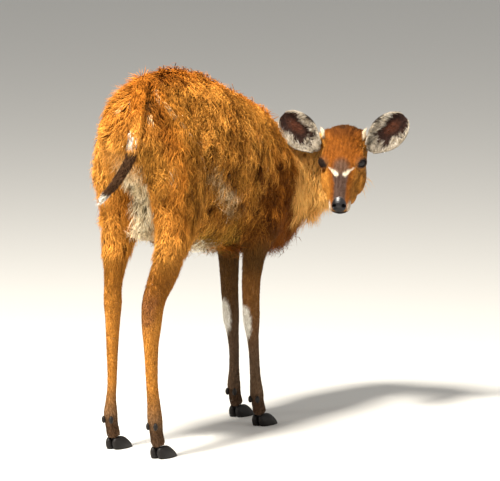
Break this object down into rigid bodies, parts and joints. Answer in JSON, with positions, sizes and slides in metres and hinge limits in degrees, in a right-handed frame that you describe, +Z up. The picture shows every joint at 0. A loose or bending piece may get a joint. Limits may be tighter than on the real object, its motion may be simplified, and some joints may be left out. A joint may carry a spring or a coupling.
{
  "type": "standing sitatunga calf figure",
  "caption": "Life-size still figure of a standing sitatunga calf that looks back over its shoulder, with cupped ears and a shaggy coat.",
  "frame": {"origin": "floor level, under the middle of the figure's bounding box", "axes": "+Z up; -Y the way the trunk faces; +X the animal's left"},
  "size_m": [0.3622, 0.7154, 0.7065],
  "materials": {
    "coat": "fur, orange-brown, darker on the shoulders and lower legs",
    "eye": "dark and glossy",
    "hoof": "horn, near black"
  },
  "bodies": {
    "root": {"chest": "coat", "ear_left": "coat", "ear_right": "coat", "eye_left": "eye", "eye_right": "eye", "fore_cannon_left": "coat", "fore_cannon_right": "coat", "fore_foot_left": "coat", "fore_foot_right": "coat", "fore_left_claw_inner": "hoof", "fore_left_claw_outer": "hoof", "fore_left_dewclaw_inner": "hoof", "fore_left_dewclaw_outer": "hoof", "fore_right_claw_inner": "hoof", "fore_right_claw_outer": "hoof", "fore_right_dewclaw_inner": "hoof", "fore_right_dewclaw_outer": "hoof", "forearm_left": "coat", "forearm_right": "coat", "head": "coat", "hind_cannon_left": "coat", "hind_cannon_right": "coat", "hind_foot_left": "coat", "hind_foot_right": "coat", "hind_left_claw_inner": "hoof", "hind_left_claw_outer": "hoof", "hind_left_dewclaw_inner": "hoof", "hind_left_dewclaw_outer": "hoof", "hind_right_claw_inner": "hoof", "hind_right_claw_outer": "hoof", "hind_right_dewclaw_inner": "hoof", "hind_right_dewclaw_outer": "hoof", "neck_lower": "coat", "neck_upper": "coat", "rump": "coat", "shank_left": "coat", "shank_right": "coat", "tail": "coat", "thigh_left": "coat", "thigh_right": "coat", "torso": "coat"}
  },
  "joints": []
}
